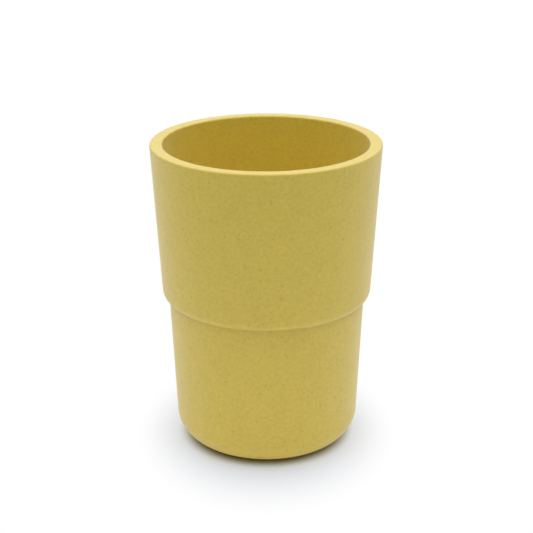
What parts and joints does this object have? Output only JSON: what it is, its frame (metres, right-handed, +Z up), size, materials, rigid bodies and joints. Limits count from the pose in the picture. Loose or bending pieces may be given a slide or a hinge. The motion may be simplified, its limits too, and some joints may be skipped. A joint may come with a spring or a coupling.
{
  "type": "reusable cup",
  "caption": "Tapered stackable drinking cup with a thick wall, a flat rim, an all-round shoulder that seats on another cup's rim, and a rounded base.",
  "frame": {"origin": "on the cup's axis, at the level of the foot ring that stands on the table", "axes": "+Z up along the cup's axis, from the foot to the rim; the cup is round, so X and Y are free"},
  "size_m": [0.08, 0.08, 0.109],
  "materials": {
    "cup": "matte yellow moulded plastic with fine dark plant-fibre specks and faint mottling"
  },
  "bodies": {
    "root": {"cup": "cup"}
  },
  "joints": []
}
